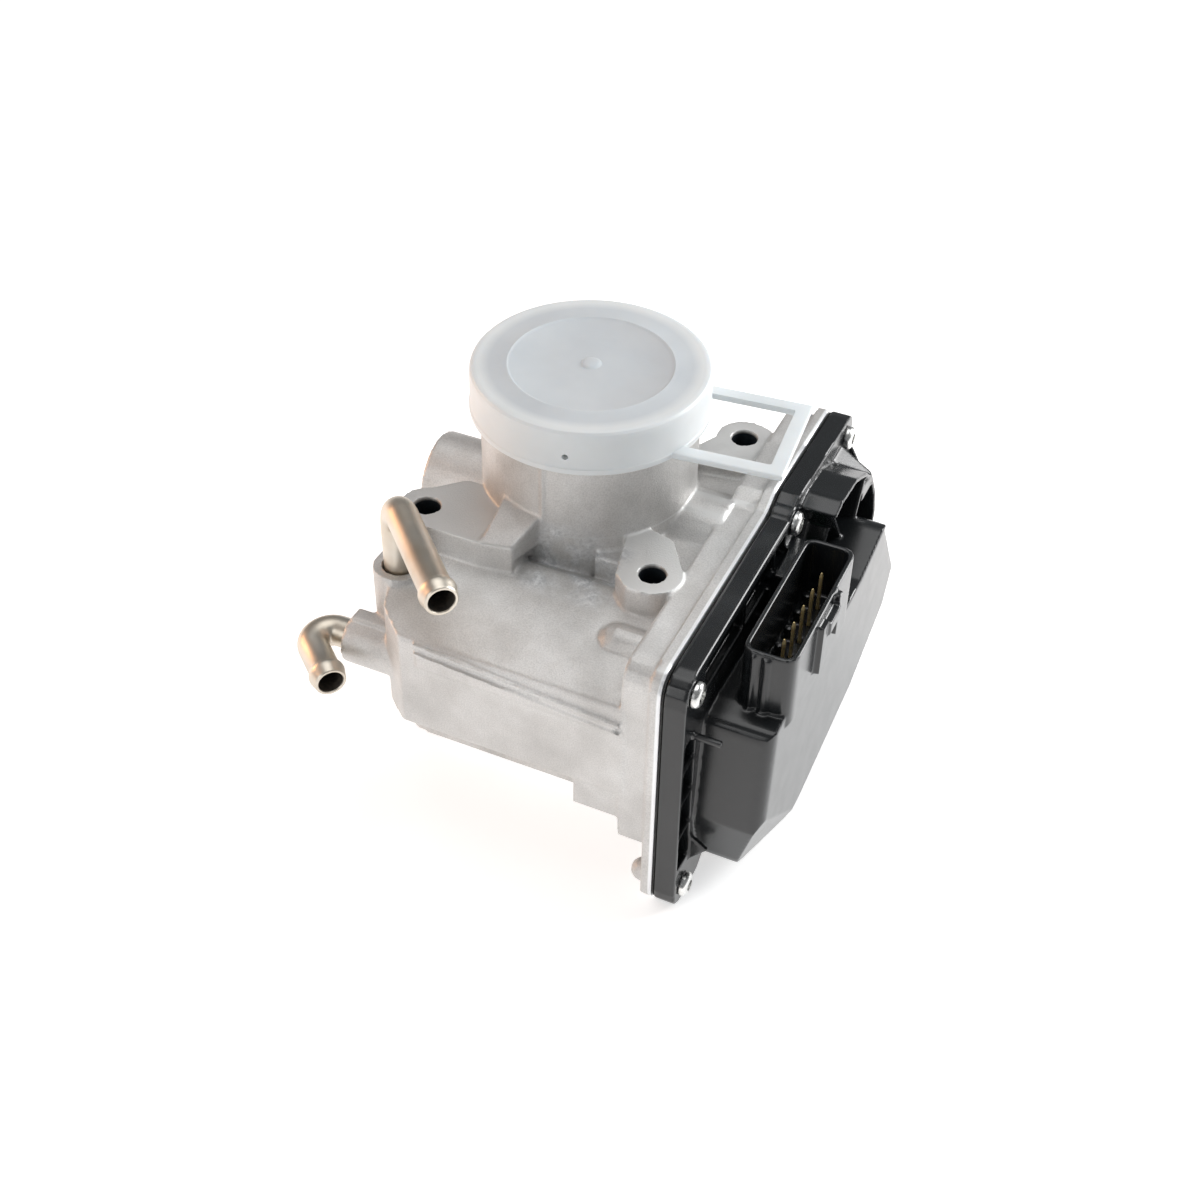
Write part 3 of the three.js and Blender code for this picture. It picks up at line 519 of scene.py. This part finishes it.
for obj, operation, tool in (
        (loop, "DIFFERENCE", window), (loop, "DIFFERENCE", tube), (cap, "UNION", loop),
        (cap, "DIFFERENCE", vent)):
    apply_modifier(obj, "BOOLEAN", operation=operation, object=tool, solver="EXACT")
for spare in (loop, window, tube, vent):
    bpy.data.objects.remove(spare, do_unlink=True)
select_only(cap)
bpy.ops.object.shade_smooth_by_angle(angle=math.radians(28))

frosted, tree, shader = material("frosted_polyethylene")
place = tree.nodes.new("ShaderNodeTexCoord")
# Painted shade: the top over the bore is painted darker than the rim, standing in for the dark bore seen
# through the translucent cap.
over_bore_shade = between(tree, off_axis(tree, place.outputs["Object"]), 0, 0.0255, 0.0025)
clouds = speckle(tree, 45)
rim_colour = ramp(tree, clouds, (0.3, (0.75, 0.785, 0.80)), (0.7, (0.83, 0.86, 0.87)))
disc_shade_colour = ramp(tree, clouds, (0.3, (0.60, 0.64, 0.675)), (0.7, (0.67, 0.71, 0.74)))
link(tree, blended(tree, over_bore_shade, rim_colour, disc_shade_colour), shader.inputs["Base Color"])
roughened(tree, shader, 220, 0.34, 0.46)
shader.inputs["Subsurface Weight"].default_value = 0.35
shader.inputs["Subsurface Radius"].default_value = (0.0022, 0.0026, 0.0030)
shader.inputs["Subsurface Scale"].default_value = 1.0
bumps(tree, shader, speckle(tree, 700, 3), 0.08, 0.0002)
cap.data.materials.append(frosted)
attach(cap, "cap")
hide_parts("dust_cap")


# ---- coolant pipes ----
# Two 8.2 mm steel tubes, bent, rolled to a bead for the hose at the open end, zinc-plated with a
# yellow passivation and pressed into the housing's bosses.
plated, tree, shader = material("yellow_zinc_steel")
tinted(tree, shader, speckle(tree, 60),
       (0.30, (0.60, 0.53, 0.43)), (0.5, (0.68, 0.62, 0.53)), (0.72, (0.76, 0.72, 0.65)))
shader.inputs["Metallic"].default_value = 1.0
roughened(tree, shader, 200, 0.34, 0.44)
bumps(tree, shader, speckle(tree, 900, 2), 0.06)

# Painted shade: the bore inside each pipe's open end gets a near-black material that stands in for the
# shade down the tube.
bore_shade_paint, tree, shader = material("painted_bore_shade")
tinted(tree, shader, speckle(tree, 700), (0.3, (0.05, 0.045, 0.04)), (0.7, (0.12, 0.10, 0.08)))
shader.inputs["Metallic"].default_value = 0.6
roughened(tree, shader, 900, 0.5, 0.7)

PIPE_R = 0.0041
PIPE_BORE = 0.0032
BORE_DEPTH = 0.016
PIPE_END = (                          # distance before the tip and radius: the bead, the lip, the bore
    (0.0051, PIPE_R), (0.0043, 0.00455), (0.0036, 0.00475), (0.0029, 0.00475), (0.0019, 0.0045),
    (0.0008, 0.0042), (0.0002, PIPE_R), (0, 0.0039), (0, 0.0034), (0.0003, PIPE_BORE),
    (BORE_DEPTH, PIPE_BORE))

for name, node, bend, *route in (     # bend radius, then start, corner and tip in mm
        ("pipe_upper", "coolant_pipe_upper", 0.0078,
         (-32, -45.3, 57.5), (-32, -45.3, 86.7), (-3.3, -74, 87.1)),
        ("pipe_side", "coolant_pipe_side", 0.0048,
         (-35.2, -53.7, 44.5), (-59.4, -53.7, 44.5), (-39, -71, 44.0))):
    start, corner, tip = (Vector(p) / 1000 for p in route)
    into, away = (corner - start).normalized(), (tip - corner).normalized()
    turn = into.angle(away)
    axis = into.cross(away).normalized()
    back = bend * math.tan(turn / 2)
    hub = corner - into * back + axis.cross(into) * bend
    bpy.ops.object.select_all(action="DESELECT")
    bpy.ops.mesh.primitive_circle_add(
        vertices=40, radius=PIPE_R, fill_type="NGON", location=start,
        rotation=into.to_track_quat("Z", "Y").to_euler())
    pipe = bpy.context.object
    pipe.name = name
    bpy.ops.object.transform_apply()
    bpy.ops.object.mode_set(mode="EDIT")
    bpy.ops.mesh.select_all(action="SELECT")
    bpy.ops.mesh.extrude_region_move(TRANSFORM_OT_translate={"value": corner - into * back - start})
    bpy.ops.mesh.spin(steps=20, angle=-turn, center=hub, axis=axis, dupli=False)
    here = corner + away * back
    for distance, radius in PIPE_END:
        there = tip - away * distance
        bpy.ops.mesh.extrude_region_move(TRANSFORM_OT_translate={"value": there - here})
        bpy.ops.object.mode_set(mode="OBJECT")
        chosen = [v for v in pipe.data.vertices if v.select]
        now = sum((v.co for v in chosen), Vector()) / len(chosen)
        wide = sum((v.co - now).length for v in chosen) / len(chosen)
        bpy.ops.object.mode_set(mode="EDIT")
        bpy.ops.transform.resize(value=(radius / wide,) * 3, center_override=now)
        here = there
    close_up(smooth=40)
    pipe.data.materials.append(plated)
    pipe.data.materials.append(bore_shade_paint)
    # Faces inside the bore take the painted-shade material.
    for face in pipe.data.polygons:
        reach = face.center - tip
        depth = -reach.dot(away)
        inside = (reach + away * depth).length < PIPE_BORE + 0.0002
        if inside and 0.0006 < depth < BORE_DEPTH + 0.001:
            face.material_index = 1
    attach(pipe, "housing")
    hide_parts(node)


# ---- gasket, bearings, motor and gears ----
# These keep their machined CAD shapes. Each takes the finish of its own stuff: moulded rubber,
# ground steel, natural acetal, enamelled copper, sintered magnet, brass or solder-masked board.
def grained(name, dark, light, scale, metallic, rough, relief):
    made, tree, shader = material(name)
    tinted(tree, shader, speckle(tree, scale), (0.32, dark), (0.68, light))
    shader.inputs["Metallic"].default_value = metallic
    roughened(tree, shader, scale * 2, *rough)
    bumps(tree, shader, speckle(tree, scale * 6, 2), relief)
    return made


finishes = {
    "seal_rubber": grained(
        "black_rubber", (0.014, 0.014, 0.014), (0.03, 0.03, 0.03), 300, 0, (0.6, 0.8), 0.3),
    "screw_steel": bright_steel,
    "plated_steel": plated,
    "black_plastic": black_plastic,
    "brass_plate": grained(
        "satin_brass", (0.62, 0.46, 0.20), (0.74, 0.58, 0.30), 200, 1, (0.25, 0.42), 0.15),
    "gear_plastic": grained(
        "natural_acetal", (0.70, 0.66, 0.56), (0.82, 0.78, 0.69), 120, 0, (0.35, 0.5), 0.1),
    "ferrite": grained(
        "sintered_ferrite", (0.035, 0.035, 0.038), (0.075, 0.075, 0.08), 800, 0.2, (0.55, 0.75), 0.4),
    "copper": grained(
        "enamelled_copper", (0.45, 0.16, 0.07), (0.66, 0.30, 0.14), 900, 0.9, (0.25, 0.4), 0.5),
    "circuit_board": grained(
        "solder_mask", (0.012, 0.10, 0.04), (0.02, 0.16, 0.07), 500, 0, (0.3, 0.45), 0.1),
}
for entry in frame["record"]["subparts"]:
    kept = nodes[entry["node"]]
    if kept.hide_render:
        continue
    kept.data.materials.clear()
    kept.data.materials.append(finishes[entry["material_slot"]])
